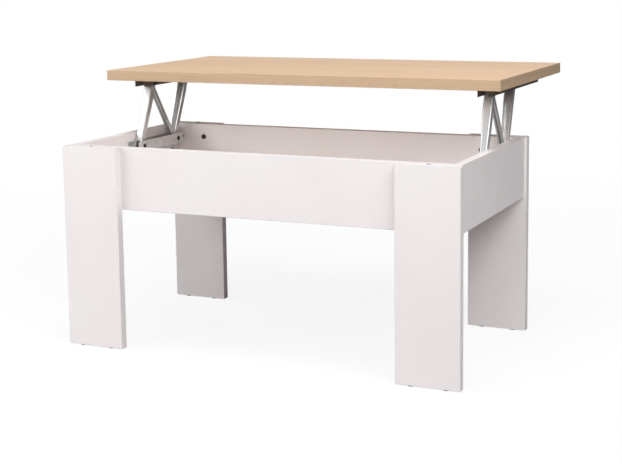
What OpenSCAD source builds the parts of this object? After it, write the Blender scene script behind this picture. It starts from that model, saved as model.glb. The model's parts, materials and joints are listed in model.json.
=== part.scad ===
// Lift top coffee table: a white panel box on four flat legs, with an oak board
// that rises and slides back on two pairs of steel parallelogram arms.
// Millimetres, +Z up, origin on the floor below the middle of the box.
// +X runs along the length, +Y is the side that the raised board moves to.
// The board is drawn raised; the arms fold towards -Y to close it.

/* [Table top] */
// Length of the board
top_l = 900; // [860:1:1100]
// Depth of the board
top_d = 470; // [440:1:560]
// Thickness of the board
top_t = 22; // [16:1:30]
// Thickness of the edge banding
band_t = 1; // [0.5:0.1:2]

/* [Box] */
// Length over the outsides of the legs
base_l = 870; // [700:1:1050]
// Depth over the outsides of the legs
base_d = 466; // [440:1:560]
// Height of the box top above the floor
box_h = 426; // [340:1:520]
// Height of the aprons and side panels
apron_h = 130; // [110:1:170]
// Thickness of the legs, aprons and side panels
panel_t = 18; // [15:1:22]
// Width of a leg
leg_w = 130; // [105:1:170]
// Step from the outside of a leg to the side panel
side_inset = 5; // [1:1:12]
// Thickness of the bottom board
bottom_t = 3.2; // [2.5:0.1:6]
// Height of the bottom board above the lower edge of the box
bottom_up = 10; // [6:1:20]
// Depth of the groove that holds the bottom board
groove = 5; // [3:0.5:7]

/* [Lift] */
// Rise of the board from closed to raised
lift = 118; // [90:1:125]
// Gap between the closed board and the box
rest_gap = 2; // [1.5:0.1:4]
// Distance between the pivots of an arm, and between the base pivots
arm_len = 148; // [135:1:160]
// Backward lean of the raised arms, in degrees
lean = 21; // [12:1:30]
// Position of the front base pivots behind the middle of the box
pivot_y = 10; // [-5:1:15]
// Depth of the upper pivots below the board
pivot_drop = 12; // [10:0.5:14]

/* [Steel parts] */
// Radius of the pivot pins
pin_r = 3; // [2:0.1:3.2]
// Outside width of an arm at its upper end
arm_w = 20; // [18:0.5:26]
// Outside width of an arm at its lower end
arm_low_w = 16; // [14:0.1:20]
// Depth of an arm
arm_depth = 14; // [12:0.5:16]
// Sheet thickness of an arm
arm_sheet = 1.8; // [1:0.1:2]
// Sheet thickness of the brackets and rails
bracket_sheet = 2; // [1.5:0.1:2.5]
// Side gap between an arm's widest part and the walls of the base bracket
base_gap = 1; // [0.7:0.1:1.5]
// Side gap between an arm and the walls of the top rail
top_gap = 0.5; // [0.4:0.1:0.9]
// Height of the top rail
rail_h = 18; // [16:0.5:20]
// Reach of the top rail in front of the front pivot
rail_front = 45; // [30:1:50]
// Reach of the top rail behind the rear pivot
rail_back = 178; // [120:1:182]
// Reach of the base bracket's channel past its pivots
bracket_reach = 22; // [14:1:26]
// Reach of the base bracket's outer wall in front of the front pivot
bracket_front = 30; // [26:1:36]
// Rise of the base bracket's walls above its pivots
bracket_up = 12; // [8:0.5:12.5]
// Drop of the base bracket's channel below its pivots
bracket_down = 14; // [12:0.5:18]
// Depth of the screw plate under the channel
plate_drop = 30; // [24:1:36]
// Outside width of the strut tube
tube_w = 10; // [8:0.5:10.5]
// Depth of the strut tube
tube_depth = 9; // [8:0.5:10]
// Wall of the strut tube
tube_wall = 1.2; // [0.8:0.1:1.5]
// Width of the slot in the strut tube
tube_slot = 4; // [2:0.5:5]
// Radius of the eyes at the ends of the strut
eye_r = 4.9; // [4.4:0.1:5]

/* [Fasteners] */
// Spread of a leg's bolts along the length
bolt_spread = 60; // [44:1:64]
// Drop of the upper leg bolts below the box top
bolt_high = 30; // [29:1:38]
// Drop of the lower leg bolts below the box top
bolt_low = 108; // [104:1:112]
// Drop of the upper corner screws below the box top
corner_high = 22; // [16:1:22]
// Drop of the lower corner screws below the box top
corner_low = 88; // [84:1:94]
// Drop of the dowels below the box top
dowel_down = 60; // [56:1:66]
// Height of the leg glides
glide_h = 2; // [1.5:0.5:4]
// Running clearance around a pin, on the radius
pin_clear = 0.05; // [0.02:0.01:0.1]
// Clearance around a screw, on the radius
hole_clear = 0.1; // [0.05:0.05:0.3]

/* [Hidden] */
$fn = 48;
CUT = 1;                      // overshoot of a cut past the face it opens
SLIP = 0.3;                   // gap between faces that pass each other
WHITE = "whitesmoke";
OAK = "burlywood";
STEEL = "silver";
DARK = "dimgray";

// Panels
inner_x = base_l / 2 - side_inset - panel_t;      // inside face of a side panel
outer_x = inner_x + panel_t;                      // outside face of a side panel
apron_out = base_d / 2 - panel_t;                 // outside face of an apron
apron_in = apron_out - panel_t;                   // inside face of an apron
apron_mid = (apron_out + apron_in) / 2;
box_low = box_h - apron_h;                        // lower edge of the box
bottom_z = box_low + bottom_up;                   // underside of the bottom board
leg_mid = base_l / 2 - leg_w / 2;                 // middle of a leg along X

// Lift geometry
closed_z = box_h + rest_gap;                      // underside of the closed board
raised_z = closed_z + lift;                       // underside of the raised board
base_z = raised_z - pivot_drop - arm_len * cos(lean);
fold = asin((closed_z - pivot_drop - base_z) / arm_len);
travel = arm_len * (sin(lean) + cos(fold));       // board's way back as it rises
rear_y = pivot_y + arm_len;                       // rear base pivot
high_z = raised_z - pivot_drop;                   // upper pivots
high_front = pivot_y + arm_len * sin(lean);
high_rear = high_front + arm_len;
strut_turn = 45 - lean / 2;                       // strut's lean towards the front
strut_gap = 2 * arm_len * sin(strut_turn);        // between the strut's own pivots

// Lift widths, as places along X on the right-hand side
arm_out = inner_x - bracket_sheet - base_gap;     // outer face of every arm
arm_in = arm_out - arm_w;                         // inner face at the upper end
arm_low_in = arm_out - arm_low_w;                 // inner face at the lower end
base_wall = arm_in - base_gap;                    // channel face of the bracket's inner wall
rail_wall = arm_in - top_gap;                     // channel face of the rail's inner wall
rail_outer = arm_out + top_gap;                   // channel face of the rail's outer wall
strut_x = arm_out - arm_low_w / 2;                // middle of the strut
rail_mid = (rail_wall + rail_outer) / 2;
bore_r = pin_r + pin_clear;
arm_r = arm_depth / 2;
web_start = arm_r + 3;                            // the web stops short of the pivots
bend_low = 0.2;                                   // where the arm starts to widen, of its length
bend_high = 0.75;                                 // where it is at full width
tube_len = strut_gap - eye_r - 2.5;
rod_len = strut_gap - eye_r - 4;
rod_w = tube_w - 2 * tube_wall - 2 * SLIP;
rod_depth = tube_depth - 2 * tube_wall - 2 * SLIP;
tube_root = eye_r + 3;                            // solid end of the tube

// Fasteners
head_r = 5.5;
head_h = 2;
washer_play = 0.1;                                // play left beside a washer
stud_r = 2.5;
stud_up = 9;                                      // stop stud's place along the arm
bolt_r = 3;
bolt_head_r = 6;
bolt_head_h = 2.8;
bolt_bite = 14;                                   // bolt's depth in the leg
corner_r = 3.5;
corner_len = 50;
corner_head_r = 5;
corner_head_h = 4;
cap_r = 6.5;
cap_t = 0.8;
dowel_r = 4;
dowel_side = 10;                                  // dowel's depth in the side panel
dowel_apron = 20;                                 // dowel's depth in the apron
screw_r = 2;
screw_head_r = 4;
screw_head_h = 2.2;
screw_len = 16;
screw_edge = 12;                                  // from a channel's end to its last screw
flush_r = 3.2;                                    // flush screw head, sunk in the bracket
flush_h = 1.6;
flush_edge = 7;
glide_r = 8;
glide_spread = 70;
nail_r = 1;
nail_len = 12;
pad_r = 4;

// ---- shared shapes -------------------------------------------------------

// Box from its low corner to its high corner.
module block(low, high) {
    translate(low) cube(high - low);
}

// Rod along X, starting at the point and running to +X.
module rod_x(r, len) {
    rotate([0, 90, 0]) cylinder(r = r, h = len);
}

// Rod along Y, starting at the point and running to +Y.
module rod_y(r, len) {
    rotate([-90, 0, 0]) cylinder(r = r, h = len);
}

// Mirrors what is drawn on the right (+X) to the left when side is -1.
module on_side(side) {
    mirror([side < 0 ? 1 : 0, 0, 0]) children();
}

module both_sides() {
    for (side = [-1, 1]) on_side(side) children();
}

// Mirrors what is drawn at the back (+Y) to the front when end is -1.
module on_end(end) {
    mirror([0, end < 0 ? 1 : 0, 0]) children();
}

module four_corners() {
    both_sides() for (end = [-1, 1]) on_end(end) children();
}

// ---- where the fasteners sit (right-hand back corner or right-hand side) --

module at_leg_bolts() {
    for (dx = [-1, 1], drop = [bolt_high, bolt_low])
        translate([leg_mid + dx * bolt_spread / 2, 0, box_h - drop]) children();
}

module at_corner_screws() {
    for (drop = [corner_high, corner_low])
        translate([0, apron_mid, box_h - drop]) children();
}

module at_glides() {
    for (dx = [-1, 1])
        translate([leg_mid + dx * glide_spread / 2, (base_d - panel_t) / 2, 0]) children();
}

module at_bracket_screws() {
    first = pivot_y - bracket_front + screw_edge;
    last = rear_y + bracket_reach - screw_edge;
    for (i = [0:3])
        translate([inner_x, first + (last - first) * i / 3,
                   base_z - bracket_down - plate_drop / 2]) children();
}

// Flush screws at the front top of a base bracket, where the folded arm passes.
module at_flush_screws() {
    for (y = [pivot_y - bracket_front + flush_edge, pivot_y - arm_r])
        translate([inner_x, y, base_z + bracket_up - flush_r - 1]) children();
}

module at_rail_screws() {
    for (y = [high_front - rail_front + screw_edge, (high_front + high_rear) / 2,
              high_rear + rail_back / 3, high_rear + rail_back - screw_edge])
        translate([rail_mid, y, raised_z]) children();
}

// ---- box -----------------------------------------------------------------

// Leg at the right-hand back corner, with blind holes for bolts and glides.
module leg_shape() {
    difference() {
        block([base_l / 2 - leg_w, base_d / 2 - panel_t, glide_h],
              [base_l / 2, base_d / 2, box_h]);
        at_leg_bolts() translate([0, apron_out - CUT, 0])
            rod_y(bolt_r + hole_clear, bolt_bite + CUT + hole_clear);
        at_glides() translate([0, 0, glide_h - CUT])
            cylinder(r = nail_r + hole_clear, h = nail_len + CUT + hole_clear);
    }
}

module leg(side, end) {
    color(WHITE) on_side(side) on_end(end) leg_shape();
}

// Apron at the back, between the side panels.
module apron_shape() {
    difference() {
        block([-inner_x, apron_in, box_low], [inner_x, apron_out, box_h]);
        bottom_groove();
        both_sides() {
            at_leg_bolts() translate([0, apron_in - CUT, 0])
                rod_y(bolt_r + hole_clear, panel_t + 2 * CUT);
            at_corner_screws() translate([outer_x - corner_len - hole_clear, 0, 0])
                rod_x(corner_r + hole_clear, corner_len);
            translate([inner_x - dowel_apron - hole_clear, apron_mid, box_h - dowel_down])
                rod_x(dowel_r + hole_clear, dowel_apron + CUT + hole_clear);
        }
    }
}

module apron(end) {
    color(WHITE) on_end(end) apron_shape();
}

// Side panel on the right, over the ends of both aprons.
module side_panel(side) {
    color(WHITE) on_side(side) difference() {
        block([inner_x, -apron_out, box_low], [outer_x, apron_out, box_h]);
        bottom_groove();
        for (end = [-1, 1]) on_end(end) {
            at_corner_screws() {
                translate([inner_x - CUT, 0, 0])
                    rod_x(corner_r + hole_clear, panel_t + 2 * CUT);
                translate([outer_x - corner_head_h, 0, 0])
                    rod_x(corner_head_r + hole_clear, corner_head_h + CUT);
            }
            translate([inner_x - CUT, apron_mid, box_h - dowel_down])
                rod_x(dowel_r + hole_clear, dowel_side + CUT + hole_clear);
        }
        at_bracket_screws() translate([-CUT, 0, 0])
            rod_x(screw_r + hole_clear, screw_len - bracket_sheet + CUT + hole_clear);
        at_flush_screws() translate([-CUT, 0, 0])
            rod_x(screw_r + hole_clear, screw_len - bracket_sheet + CUT + hole_clear);
    }
}

// Space that the bottom board and its groove take.
module bottom_groove() {
    reach = groove + hole_clear;
    block([-inner_x - reach, -apron_in - reach, bottom_z],
          [inner_x + reach, apron_in + reach, bottom_z + bottom_t]);
}

module bottom_board() {
    color(WHITE)
        block([-inner_x - groove, -apron_in - groove, bottom_z],
              [inner_x + groove, apron_in + groove, bottom_z + bottom_t]);
}

module leg_glides() {
    color(DARK) four_corners() at_glides() {
        cylinder(r = glide_r, h = glide_h);
        cylinder(r = nail_r, h = glide_h + nail_len);
    }
}

module leg_bolts() {
    color(DARK) four_corners() at_leg_bolts() {
        translate([0, apron_in - bolt_head_h, 0]) rod_y(bolt_head_r, bolt_head_h);
        translate([0, apron_in, 0]) rod_y(bolt_r, panel_t + bolt_bite);
    }
}

module corner_screws() {
    color(STEEL) four_corners() at_corner_screws() {
        translate([outer_x - corner_len, 0, 0]) rod_x(corner_r, corner_len);
        translate([outer_x - corner_head_h, 0, 0]) rod_x(corner_head_r, corner_head_h);
    }
}

module screw_caps() {
    color(WHITE) four_corners() at_corner_screws()
        translate([outer_x, 0, 0]) rod_x(cap_r, cap_t);
}

module dowels() {
    color("tan") four_corners()
        translate([inner_x - dowel_apron, apron_mid, box_h - dowel_down])
            rod_x(dowel_r, dowel_apron + dowel_side);
}

module bump_pads() {
    color("lightgray") four_corners()
        translate([leg_mid, (base_d - panel_t) / 2, box_h])
            cylinder(r = pad_r, h = rest_gap - SLIP);
}

// ---- lift, drawn on the right --------------------------------------------

// Bore for a pin, across the channel from one place along X to another.
module cross_bore(from, to) {
    translate([from - CUT, 0, 0]) rod_x(bore_r, to - from + 2 * CUT);
}

// Stop studs behind the raised front arm, seen from its base pivot.
module at_stop_stud() {
    off = arm_r + stud_r + pin_clear;
    translate([0, stud_up * sin(lean) + off * cos(lean),
               stud_up * cos(lean) - off * sin(lean)]) children();
}

// Channel that opens upwards, with a screw plate under its outer wall.
module base_bracket(side) {
    front = pivot_y - bracket_front;
    back = rear_y + bracket_reach;
    low = base_z - bracket_down;
    high = base_z + bracket_up;
    wall_out = base_wall - bracket_sheet;
    color(STEEL) on_side(side) difference() {
        union() {
            block([inner_x - bracket_sheet, front, low - plate_drop], [inner_x, back, high]);
            block([wall_out, pivot_y - bracket_reach, low], [base_wall, back, high]);
            block([wall_out, pivot_y - bracket_reach, low], [inner_x, back, low + bracket_sheet]);
        }
        at_base_pivots() cross_bore(wall_out, inner_x);
        translate([0, pivot_y, base_z]) at_stop_stud() translate([wall_out - CUT, 0, 0])
            rod_x(stud_r - 1 + hole_clear, inner_x - wall_out + 2 * CUT);
        at_bracket_screws() translate([-bracket_sheet - CUT, 0, 0])
            rod_x(screw_r + hole_clear, bracket_sheet + 2 * CUT);
        at_flush_screws() {
            translate([-bracket_sheet - CUT, 0, 0])
                rod_x(screw_r + hole_clear, bracket_sheet + 2 * CUT);
            translate([-bracket_sheet - CUT, 0, 0])
                rod_x(flush_r + hole_clear, flush_h + CUT);
        }
    }
}

module bracket_screws() {
    color(DARK) both_sides() {
        at_bracket_screws() {
            translate([-bracket_sheet, 0, 0]) rod_x(screw_r, screw_len);
            translate([-bracket_sheet - screw_head_h, 0, 0]) rod_x(screw_head_r, screw_head_h);
        }
        at_flush_screws() {
            translate([-bracket_sheet, 0, 0]) rod_x(screw_r, screw_len);
            translate([-bracket_sheet, 0, 0]) rod_x(flush_r, flush_h);
        }
    }
}

// Pin from one place along X to another, with its head on the low side.
module pivot_pin(from, to) {
    translate([from, 0, 0]) rod_x(pin_r, to - from);
    translate([from - head_h, 0, 0]) rod_x(head_r, head_h);
}

// Washer from one place along X, for a gap between an arm and a wall.
module washer(from, gap) {
    thick = gap - washer_play;
    translate([from, 0, 0]) difference() {
        rod_x(arm_r - 1, thick);
        cross_bore(0, thick);
    }
}

// Washers against both walls of a channel, where the gaps may differ.
module washer_pair(from, to, gap_from, gap_to) {
    washer(from, gap_from);
    washer(to - gap_to + washer_play, gap_to);
}

module at_base_pivots() {
    for (y = [pivot_y, rear_y]) translate([0, y, base_z]) children();
}

module at_top_pivots() {
    for (y = [high_front, high_rear]) translate([0, y, high_z]) children();
}

module base_pins() {
    color(DARK) both_sides() at_base_pivots() pivot_pin(base_wall - bracket_sheet, inner_x);
}

module base_washers() {
    color(DARK) both_sides() at_base_pivots()
        washer_pair(base_wall, inner_x - bracket_sheet, arm_low_in - base_wall, base_gap);
}

// Studs riveted in both walls, which the raised front arm rests on.
module stop_studs() {
    inner_reach = arm_low_in + arm_sheet - base_wall;
    outer_reach = base_gap + arm_sheet;
    color(STEEL) both_sides() translate([0, pivot_y, base_z]) at_stop_stud() {
        translate([base_wall, 0, 0]) rod_x(stud_r, inner_reach);
        translate([base_wall - bracket_sheet, 0, 0]) rod_x(stud_r - 1, bracket_sheet);
        translate([inner_x - bracket_sheet - outer_reach, 0, 0]) rod_x(stud_r, outer_reach);
        translate([inner_x - bracket_sheet, 0, 0]) rod_x(stud_r - 1, bracket_sheet);
    }
}

// Channel that opens downwards, screwed under the board.
module top_rail(side) {
    front = high_front - rail_front;
    back = high_rear + rail_back;
    color(DARK) on_side(side) difference() {
        union() {
            for (wall = [rail_wall - bracket_sheet, rail_outer])
                block([wall, front, raised_z - rail_h], [wall + bracket_sheet, back, raised_z]);
            block([rail_wall - bracket_sheet, front, raised_z - bracket_sheet],
                  [rail_outer + bracket_sheet, back, raised_z]);
        }
        at_top_pivots() cross_bore(rail_wall - bracket_sheet, rail_outer + bracket_sheet);
        at_rail_screws() translate([0, 0, -bracket_sheet - CUT])
            cylinder(r = screw_r + hole_clear, h = bracket_sheet + 2 * CUT);
    }
}

module rail_screws() {
    color(DARK) both_sides() at_rail_screws() {
        translate([0, 0, -bracket_sheet]) cylinder(r = screw_r, h = screw_len);
        translate([0, 0, -bracket_sheet - screw_head_h])
            cylinder(r = screw_head_r, h = screw_head_h);
    }
}

module top_pins() {
    color(DARK) both_sides() at_top_pivots()
        pivot_pin(rail_wall - bracket_sheet, rail_outer + bracket_sheet);
}

module top_washers() {
    color(DARK) both_sides() at_top_pivots()
        washer_pair(rail_wall, rail_outer, top_gap, top_gap);
}

// Inner edge of an arm against height, set in from the upper end's inner face.
function arm_edge(inset) = [
    [arm_low_in + inset, -arm_r], [arm_low_in + inset, bend_low * arm_len],
    [arm_in + inset, bend_high * arm_len], [arm_in + inset, arm_len + arm_r]];

function reversed(list) = [for (i = [len(list) - 1:-1:0]) list[i]];

// Straight outer edge of an arm, set in from its outer face.
function arm_back(inset) = [[arm_out - inset, arm_len + arm_r], [arm_out - inset, -arm_r]];

// Extrudes an outline in X and Z from one place along Y to another.
module slab_y(outline, from, to) {
    translate([0, to, 0]) rotate([90, 0, 0]) linear_extrude(to - from) polygon(outline);
}

// Pressed channel between two pivots, drawn upright from its base pivot.
// The web faces -Y when web_side is -1 and +Y when it is 1.
module arm_shape(web_side) {
    difference() {
        intersection() {
            union() {
                slab_y(concat(arm_edge(0), reversed(arm_edge(arm_sheet))), -arm_r, arm_r);
                slab_y(concat(arm_back(0), reversed(arm_back(arm_sheet))), -arm_r, arm_r);
                mirror([0, web_side < 0 ? 1 : 0, 0]) intersection() {
                    slab_y(concat(arm_edge(0), arm_back(0)), arm_r - arm_sheet, arm_r);
                    block([0, 0, web_start], [base_l, arm_r, arm_len - web_start]);
                }
            }
            union() {
                block([arm_in, -arm_r, 0], [arm_out, arm_r, arm_len]);
                for (z = [0, arm_len]) translate([arm_in, 0, z]) rod_x(arm_r, arm_w);
            }
        }
        for (z = [0, arm_len]) translate([0, 0, z]) cross_bore(arm_in, arm_out);
    }
}

module arm(side, y, web_side) {
    color("lightgray") on_side(side)
        translate([0, y, base_z]) rotate([-lean, 0, 0]) arm_shape(web_side);
}

// Bored barrel of a strut piece, between the flanges of an arm.
module eye_barrel(from, to) {
    translate([from, 0, 0]) rod_x(eye_r, to - from);
}

// Bar along Z about the middle of the strut.
module strut_bar(width, depth, low, high) {
    block([strut_x - width / 2, -depth / 2, low], [strut_x + width / 2, depth / 2, high]);
}

// Slotted tube of the strut, from its eye on the rear base pin.
module strut_tube(side) {
    from = arm_low_in + arm_sheet + SLIP;
    to = arm_out - arm_sheet - SLIP;
    color(STEEL) on_side(side) translate([0, rear_y, base_z])
        rotate([strut_turn, 0, 0]) difference() {
            union() {
                eye_barrel(from, to);
                strut_bar(tube_w, tube_depth, 0, tube_len);
            }
            strut_bar(tube_w - 2 * tube_wall, tube_depth - 2 * tube_wall,
                      tube_root, tube_len + CUT);
            strut_bar(tube_slot, tube_depth + 2 * CUT,
                      tube_root + tube_slot, tube_len - 2 * tube_slot);
            cross_bore(from, to);
        }
}

// Sliding bar of the strut, from its eye on the front upper pin.
module strut_rod(side) {
    from = arm_in + arm_sheet + SLIP;
    to = arm_out - arm_sheet - SLIP;
    color("lightgray") on_side(side) translate([0, high_front, high_z])
        rotate([strut_turn, 0, 0]) difference() {
            union() {
                eye_barrel(from, to);
                strut_bar(rod_w, rod_depth, -rod_len, 0);
            }
            cross_bore(from, to);
        }
}

// ---- board ---------------------------------------------------------------

module top_board() {
    color(OAK) difference() {
        block([band_t - top_l / 2, travel + band_t - top_d / 2, raised_z],
              [top_l / 2 - band_t, travel + top_d / 2 - band_t, raised_z + top_t]);
        both_sides() at_rail_screws() translate([0, 0, -CUT])
            cylinder(r = screw_r + hole_clear,
                     h = screw_len - bracket_sheet + CUT + hole_clear);
    }
}

module edge_banding() {
    color(OAK) difference() {
        block([-top_l / 2, travel - top_d / 2, raised_z],
              [top_l / 2, travel + top_d / 2, raised_z + top_t]);
        block([band_t - top_l / 2, travel + band_t - top_d / 2, raised_z - CUT],
              [top_l / 2 - band_t, travel + top_d / 2 - band_t, raised_z + top_t + CUT]);
    }
}

leg(-1, -1);  // leg_front_left
leg(1, -1);  // leg_front_right
leg(-1, 1);  // leg_rear_left
leg(1, 1);  // leg_rear_right
apron(-1);  // apron_front
apron(1);  // apron_rear
side_panel(-1);  // side_panel_left
side_panel(1);  // side_panel_right
bottom_board();
leg_glides();
leg_bolts();
corner_screws();
screw_caps();
dowels();
bump_pads();
base_bracket(-1);  // base_bracket_left
base_bracket(1);  // base_bracket_right
bracket_screws();
base_pins();
base_washers();
stop_studs();
top_board();
edge_banding();
top_rail(-1);  // top_rail_left
top_rail(1);  // top_rail_right
rail_screws();
top_pins();
top_washers();
arm(-1, pivot_y, -1);  // arm_front_left
arm(1, pivot_y, -1);  // arm_front_right
arm(-1, rear_y, 1);  // arm_rear_left
arm(1, rear_y, 1);  // arm_rear_right
strut_tube(-1);  // strut_tube_left
strut_tube(1);  // strut_tube_right
strut_rod(-1);  // strut_rod_left
strut_rod(1);  // strut_rod_right
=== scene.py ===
"""Looks of a lift top coffee table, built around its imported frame.

A white panel box on four flat legs carries an oak board on two pairs of folding
steel arms. Every piece takes its place from the frame, in metres, and rides on
the body of the frame that it belongs to.
"""

from __future__ import annotations

import json
import logging
import math
from dataclasses import dataclass, field
from enum import Enum
from typing import Iterable, Sequence, Union

import bmesh
import bpy
from mathutils import Matrix, Vector

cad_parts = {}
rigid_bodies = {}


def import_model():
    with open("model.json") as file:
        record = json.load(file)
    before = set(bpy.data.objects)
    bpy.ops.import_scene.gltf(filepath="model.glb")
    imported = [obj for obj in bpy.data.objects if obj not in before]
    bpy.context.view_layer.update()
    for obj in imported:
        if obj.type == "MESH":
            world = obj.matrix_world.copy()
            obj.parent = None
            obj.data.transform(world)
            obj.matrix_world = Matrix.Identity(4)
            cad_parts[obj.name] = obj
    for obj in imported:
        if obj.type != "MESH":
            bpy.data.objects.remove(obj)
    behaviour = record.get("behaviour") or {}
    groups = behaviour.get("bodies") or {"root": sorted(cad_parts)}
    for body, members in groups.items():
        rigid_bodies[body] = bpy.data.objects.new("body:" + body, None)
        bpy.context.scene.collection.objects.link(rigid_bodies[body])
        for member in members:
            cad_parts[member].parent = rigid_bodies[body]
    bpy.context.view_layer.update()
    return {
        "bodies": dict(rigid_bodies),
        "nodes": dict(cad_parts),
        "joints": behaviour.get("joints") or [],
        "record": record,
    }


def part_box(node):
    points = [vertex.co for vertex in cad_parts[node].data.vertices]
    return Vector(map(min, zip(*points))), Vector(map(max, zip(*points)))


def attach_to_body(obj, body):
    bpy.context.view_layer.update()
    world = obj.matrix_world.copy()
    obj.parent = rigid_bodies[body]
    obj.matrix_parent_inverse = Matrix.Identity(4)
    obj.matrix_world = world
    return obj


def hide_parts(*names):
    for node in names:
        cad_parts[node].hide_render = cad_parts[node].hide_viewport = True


LOG = logging.getLogger("lift_table")
MM = 0.001
WELD = 1e-6
FACING = 0.9
FLAT_TURN = math.radians(0.5)
SHARP_TURN = math.radians(30.0)
FOLD_TURN = 50.0
Colour = tuple[float, float, float]
Source = Union[float, bpy.types.NodeSocket]


def srgb(red: int, green: int, blue: int) -> Colour:
    """Turns a display colour of 0 to 255 into scene-linear values.

    Args:
        red: Red of the display colour.
        green: Green of the display colour.
        blue: Blue of the display colour.

    Returns:
        The three linear values.
    """

    def channel(value: int) -> float:
        """Linear value of one channel."""
        share = value / 255.0
        return share / 12.92 if share <= 0.04045 else ((share + 0.055) / 1.055) ** 2.4

    return channel(red), channel(green), channel(blue)


class Axis(Enum):
    """A direction of the frame, as the index of its coordinate."""

    X = 0
    Y = 1
    Z = 2


class Side(Enum):
    """The left or the right of the table, as the sign of X."""

    LEFT = -1
    RIGHT = 1

    @property
    def label(self) -> str:
        """The word that node and body names end with."""
        return self.name.lower()


class HeadWay(Enum):
    """The way that the head of a fastener points."""

    TO_MIDDLE = "to_middle"
    AWAY = "away"
    UP = "up"
    DOWN = "down"


class Recess(Enum):
    """The drive cut in the head of a fastener."""

    NONE = 0
    CROSS = 1
    HEX = 2


# ---- node trees ------------------------------------------------------------


class Graph:
    """Adds and links the nodes of one tree."""

    def __init__(self, tree: bpy.types.NodeTree) -> None:
        """Keeps the tree that the nodes go in."""
        self.tree = tree

    def node(self, kind: str, **settings: object) -> bpy.types.Node:
        """Adds a node.

        Args:
            kind: Blender's name of the node type.
            **settings: Properties to set on the node.

        Returns:
            The new node.
        """
        made = self.tree.nodes.new(kind)
        for key, value in settings.items():
            setattr(made, key, value)
        return made

    def feed(self, socket: bpy.types.NodeSocket, source: object) -> None:
        """Links a socket to a source, or sets its value when the source is one.

        Args:
            socket: Input to feed.
            source: Output socket, or a plain value.
        """
        if isinstance(source, bpy.types.NodeSocket):
            self.tree.links.new(source, socket)
        else:
            socket.default_value = source

    def math(
        self, operation: str, first: Source, second: Source = 0.0, clamp: bool = False
    ) -> bpy.types.NodeSocket:
        """Adds a Math node.

        Args:
            operation: Blender's name of the operation.
            first: First value.
            second: Second value, where the operation has one.
            clamp: Whether the result is kept within 0 and 1.

        Returns:
            The result.
        """
        made = self.node("ShaderNodeMath", operation=operation, use_clamp=clamp)
        self.feed(made.inputs[0], first)
        self.feed(made.inputs[1], second)
        return made.outputs[0]

    def spread(
        self, value: Source, low: float, high: float, to_low: float = 0.0, to_high: float = 1.0
    ) -> bpy.types.NodeSocket:
        """Maps a value from one range to another, and keeps it within the second.

        Args:
            value: The value.
            low: Where the first range starts.
            high: Where the first range ends.
            to_low: What the start becomes.
            to_high: What the end becomes.

        Returns:
            The mapped value.
        """
        made = self.node("ShaderNodeMapRange")
        for name, source in (
            ("Value", value),
            ("From Min", low),
            ("From Max", high),
            ("To Min", to_low),
            ("To Max", to_high),
        ):
            self.feed(made.inputs[name], source)
        return made.outputs["Result"]


class Paint(Graph):
    """The node tree of a material, with the texture nodes that the finishes share."""

    def __init__(self, material: bpy.types.Material) -> None:
        """Finds the shader and adds the object coordinates.

        Args:
            material: The material, with its nodes switched on.
        """
        super().__init__(material.node_tree)
        self.shader = next(n for n in self.tree.nodes if n.type == "BSDF_PRINCIPLED")
        self.place = self.node("ShaderNodeTexCoord").outputs["Object"]

    def stretched(self, scale: tuple[float, float, float], turn: float = 0.0) -> bpy.types.NodeSocket:
        """Object coordinates, scaled by axis after a turn about Z.

        Args:
            scale: Scale along X, Y and Z.
            turn: Turn about Z, in radians.

        Returns:
            The new coordinates.
        """
        turned = self.node("ShaderNodeMapping")
        self.feed(turned.inputs["Vector"], self.place)
        turned.inputs["Rotation"].default_value = (0.0, 0.0, turn)
        scaled = self.node("ShaderNodeMapping")
        self.feed(scaled.inputs["Vector"], turned.outputs[0])
        scaled.inputs["Scale"].default_value = scale
        return scaled.outputs[0]

    def noise(
        self,
        vector: bpy.types.NodeSocket,
        scale: float,
        detail: float = 3.0,
        rough: float = 0.5,
        bend: float = 0.0,
    ) -> bpy.types.NodeSocket:
        """Adds a Noise texture and returns its value.

        Args:
            vector: Coordinates that it reads.
            scale: Features to the metre.
            detail: Octaves.
            rough: Strength of the finer octaves.
            bend: Distortion of the coordinates.

        Returns:
            The value, about 0.5 in the middle.
        """
        made = self.node("ShaderNodeTexNoise")
        self.feed(made.inputs["Vector"], vector)
        made.inputs["Scale"].default_value = scale
        made.inputs["Detail"].default_value = detail
        made.inputs["Roughness"].default_value = rough
        made.inputs["Distortion"].default_value = bend
        return made.outputs[0]

    def mix(self, share: Source, first: object, second: object) -> bpy.types.NodeSocket:
        """Mixes two colours, each a socket or three linear values.

        Args:
            share: How much of the second colour shows.
            first: First colour.
            second: Second colour.

        Returns:
            The mixed colour.
        """
        made = self.node("ShaderNodeMix", data_type="RGBA", blend_type="MIX")
        self.feed(made.inputs[0], share)
        for socket, source in ((made.inputs[6], first), (made.inputs[7], second)):
            self.feed(socket, (*source, 1.0) if isinstance(source, tuple) else source)
        return made.outputs[2]

    def bump(self, height: bpy.types.NodeSocket, depth: float, strength: float = 1.0) -> None:
        """Raises the surface by a height of 0 to 1.

        Args:
            height: The height.
            depth: What a height of 1 stands for, in metres.
            strength: How much of it shows.
        """
        made = self.node("ShaderNodeBump")
        made.inputs["Strength"].default_value = strength
        made.inputs["Distance"].default_value = depth
        self.feed(made.inputs["Height"], height)
        self.feed(self.shader.inputs["Normal"], made.outputs[0])

    def set(self, name: str, source: object) -> None:
        """Links or sets one socket of the shader.

        Args:
            name: Name of the socket.
            source: Output socket, plain value or three linear values of a colour.
        """
        if isinstance(source, tuple):
            source = (*source, 1.0)
        self.feed(self.shader.inputs[name], source)


# ---- finishes --------------------------------------------------------------


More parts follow.
